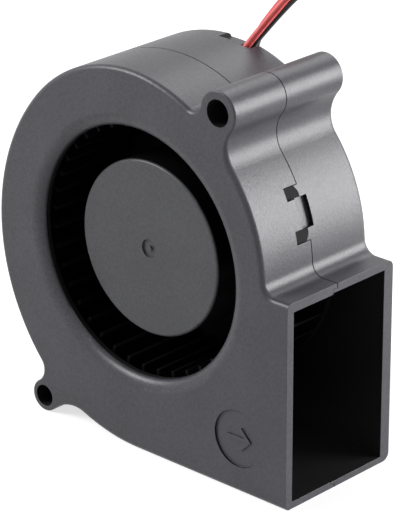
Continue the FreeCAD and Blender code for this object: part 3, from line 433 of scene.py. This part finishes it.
def make_materials():
    """All materials by name: one for each slot of the record, and three more: the front shell's plastic with
    painted seam shade, and two near-black materials of painted shade for inner faces.
    """
    looks = {
        "housing_plastic": (housing_plastic, {}),
        "front_housing_plastic": (housing_plastic, dict(seam=SEAM_PLACE - SEAM_WIDTH)),
        "impeller_plastic": (moulded_plastic, dict(colour=IMPELLER_GREY, rough=0.45, grain=0.3 * MM,
                                                   depth=0.024 * MM, edge=0.12 * MM, spread=0.3)),
        # The next two are painted shade on inner faces, not plastics of their own
        "inside_plastic": (moulded_plastic, dict(colour=INSIDE_PAINTED_SHADE, rough=0.5, depth=0.008 * MM, gloss=0.1)),
        "blade_plastic": (moulded_plastic, dict(colour=BLADE_PAINTED_SHADE, rough=0.5, depth=0.008 * MM, gloss=0.06)),
        "yoke_steel": (smooth_metal, dict(colour=(0.56, 0.56, 0.55), rough=0.3)),
        "ferrite": (moulded_plastic, dict(colour=(0.05, 0.05, 0.052), rough=0.6, grain=0.15 * MM)),
        "bearing_steel": (smooth_metal, dict(colour=(0.7, 0.7, 0.71), rough=0.14, streak=0.2 * MM)),
        "washer_plastic": (moulded_plastic, dict(colour=(0.72, 0.71, 0.66), rough=0.45)),
        "tube_brass": (smooth_metal, dict(colour=(0.78, 0.56, 0.26), rough=0.24, streak=0.3 * MM)),
        "cage_steel": (smooth_metal, dict(colour=(0.6, 0.6, 0.58), rough=0.28)),
        "core_steel": (laminated_steel, dict(colour=(0.38, 0.38, 0.39))),
        "insulator_plastic": (moulded_plastic, dict(colour=(0.66, 0.64, 0.56), rough=0.42)),
        "winding_copper": (wound_wire, dict(colour=(0.8, 0.36, 0.16))),
        "tinned_metal": (smooth_metal, dict(colour=(0.68, 0.68, 0.67), rough=0.3)),
        "board_laminate": (solder_mask, dict(colour=(0.02, 0.16, 0.06))),
        "chip_plastic": (moulded_plastic, dict(colour=(0.03, 0.03, 0.032), rough=0.5, grain=0.1 * MM)),
        "component_ceramic": (moulded_plastic, dict(colour=(0.4, 0.3, 0.18), rough=0.5, grain=0.1 * MM)),
        "red_insulation": (extruded_vinyl, dict(colour=(0.82, 0.11, 0.11), rough=0.42)),
        "black_insulation": (extruded_vinyl, dict(colour=(0.018, 0.018, 0.019), rough=0.36)),
        "tie_plastic": (moulded_plastic, dict(colour=(0.02, 0.02, 0.021), rough=0.45)),
        "connector_plastic": (moulded_plastic, dict(colour=(0.78, 0.77, 0.71), rough=0.38, grain=0.2 * MM,
                                                    depth=0.008 * MM)),
    }
    return {name: make(name, **look) for name, (make, look) in looks.items()}


def wheel_axis():
    """Place of the wheel's axis in width and height."""
    low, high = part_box("rotor_yoke")
    return Vector(((low.x + high.x) / 2, (low.z + high.z) / 2))


def give_inside(name, painted_shade_material, is_inside):
    """Painted shade: a near-black material on the faces of a node that lie inside the air path, where they
    are in shade.
    """
    mesh = nodes[name].data
    mesh.materials.append(materials[painted_shade_material])
    for face in mesh.polygons:
        if is_inside(face):
            face.material_index = 1


def paint_inside_shade():
    """Painted shade on the shell faces across the air path, on the latch prongs' slopes, and on the impeller
    behind its hub face or outside its hub.
    """
    trees = []
    for name in ("front_housing", "rear_housing"):
        mesh = nodes[name].data
        trees.append(BVHTree.FromPolygons([vertex.co for vertex in mesh.vertices],
                                          [face.vertices for face in mesh.polygons]))

    def looks_inside(face):
        start = face.center + face.normal * SIGHT_START
        return any(tree.ray_cast(start, face.normal, LONGEST_SIGHT)[0] is not None for tree in trees)

    def on_prong(face):
        return PRONG_SLOPE[0] < face.normal.y < PRONG_SLOPE[1]

    low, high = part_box("rotor_yoke")
    axis = wheel_axis()
    hub_radius = (high.x - low.x) / 2 + HUB_WALL
    hub_depth = low.y - HUB_SKIN

    def behind_hub_face(face):
        out = (Vector((face.center.x, face.center.z)) - axis).length
        return face.center.y > hub_depth or out > hub_radius

    give_inside("front_housing", "inside_plastic", looks_inside)
    # painted shade on the latch prongs' sloping faces as well
    give_inside("rear_housing", "inside_plastic", lambda face: looks_inside(face) or on_prong(face))
    # painted shade on the impeller's faces behind its hub face or outside its hub
    give_inside("impeller", "blade_plastic", behind_hub_face)


def widen_inlet_lip():
    """Front shell with its inlet lip stretched from the solid's small round to the photograph's wide one."""
    mesh = nodes["front_housing"].data.copy()
    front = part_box("front_housing")[0].y
    axis = wheel_axis()
    widening, deepening = (size / SOLID_LIP for size in WIDE_LIP)
    normals = [corner.vector.copy() for corner in mesh.corner_normals]
    directions = {}
    for vertex in mesh.vertices:
        out = Vector((vertex.co.x, vertex.co.z)) - axis
        past = out.length - INLET_RADIUS
        behind = vertex.co.y - front
        if -LIP_MARGIN < past < SOLID_LIP + LIP_MARGIN and behind < SOLID_LIP + LIP_MARGIN:
            radial = out.normalized()
            place = axis + radial * (INLET_RADIUS + past * widening)
            vertex.co = (place.x, front + behind * deepening, place.y)
            directions[vertex.index] = Vector((radial.x, 0.0, radial.y))
    for loop in mesh.loops:
        if loop.vertex_index in directions:
            radial = directions[loop.vertex_index]
            normal = normals[loop.index]
            along = normal.dot(radial)
            stretched = normal + radial * (along / widening - along)
            stretched.y = normal.y / deepening
            normals[loop.index] = stretched.normalized()
    mesh.normals_split_custom_set(normals)
    shell = add_object("front_shell", mesh)
    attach(shell, "housing")
    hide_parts("front_housing")


def background_rays(tree):
    """Socket that is 1 for the rays that show the white background, and 0 for those that light the fan."""
    rays = tree.nodes.new("ShaderNodeLightPath")
    seen = rays.outputs["Is Camera Ray"]
    for kind in ("Is Glossy Ray", "Is Transmission Ray"):
        larger = tree.nodes.new("ShaderNodeMath")
        larger.operation = "MAXIMUM"
        tree.links.new(seen, larger.inputs[0])
        tree.links.new(rays.outputs[kind], larger.inputs[1])
        seen = larger.outputs["Value"]
    return seen


def make_floor():
    """Pale floor that reads white to the camera and keeps the fan's shadow."""
    g = Graph("floor_paper")
    g.set("Base Color", (FLOOR_GREY, FLOOR_GREY, FLOOR_GREY, 1.0))
    g.set("Roughness", 0.9)
    g.set("Specular IOR Level", 0.1)
    glow = g.node("ShaderNodeEmission")
    g.link(g.maths("MULTIPLY", background_rays(g.tree), FLOOR_GLOW), glow.inputs["Strength"])
    both = g.node("ShaderNodeAddShader")
    output = g.tree.nodes["Material Output"]
    g.link(g.shader.outputs["BSDF"], both.inputs[0])
    g.link(glow.outputs["Emission"], both.inputs[1])
    g.link(both.outputs["Shader"], output.inputs["Surface"])
    mesh = bpy.data.meshes.new("floor")
    corners = [(x * FLOOR_HALF, y * FLOOR_HALF, 0) for x, y in ((-1, -1), (1, -1), (1, 1), (-1, 1))]
    mesh.from_pydata(corners, [], [(0, 1, 2, 3)])
    mesh.materials.append(g.material)
    add_object("floor", mesh)


def make_lamp(name, place, size, power):
    """Square soft lamp that points at the fan."""
    data = bpy.data.lights.new(name, "AREA")
    data.shape = "SQUARE"
    data.size = size
    data.energy = power
    lamp = add_object(name, data)
    lamp.location = place
    lamp.rotation_mode = "QUATERNION"
    lamp.rotation_quaternion = (LAMP_AIM - Vector(place)).to_track_quat("-Z", "Y")


def make_world():
    """Weak light from all round, with a white background for the rays that show it."""
    world = bpy.data.worlds.new("studio")
    world.use_nodes = True
    tree = world.node_tree
    background = tree.nodes["Background"]
    background.inputs["Color"].default_value = (1.0, 1.0, 1.0, 1.0)
    strength = tree.nodes.new("ShaderNodeMapRange")
    strength.inputs["To Min"].default_value = WORLD_LIGHT
    strength.inputs["To Max"].default_value = WORLD_WHITE
    tree.links.new(background_rays(tree), strength.inputs["Value"])
    tree.links.new(strength.outputs["Result"], background.inputs["Strength"])
    bpy.context.scene.world = world


make_camera()
leads = {colour: make_lead(colour) for colour in ("red", "black")}

materials = make_materials()
for subpart in frame["record"]["subparts"]:
    mesh = nodes[subpart["node"]].data
    mesh.materials.clear()
    mesh.materials.append(materials[subpart["material_slot"]])
# the front shell's plastic has a line of painted shade along the seam
nodes["front_housing"].data.materials[0] = materials["front_housing_plastic"]
for colour, lead in leads.items():
    lead.data.materials.append(materials[colour + "_insulation"])
# painted shade on inner faces
paint_inside_shade()
widen_inlet_lip()

make_floor()
for lamp in LAMPS:
    make_lamp(*lamp)
make_world()
bpy.context.scene.view_settings.view_transform = "Standard"

bpy.context.view_layer.update()
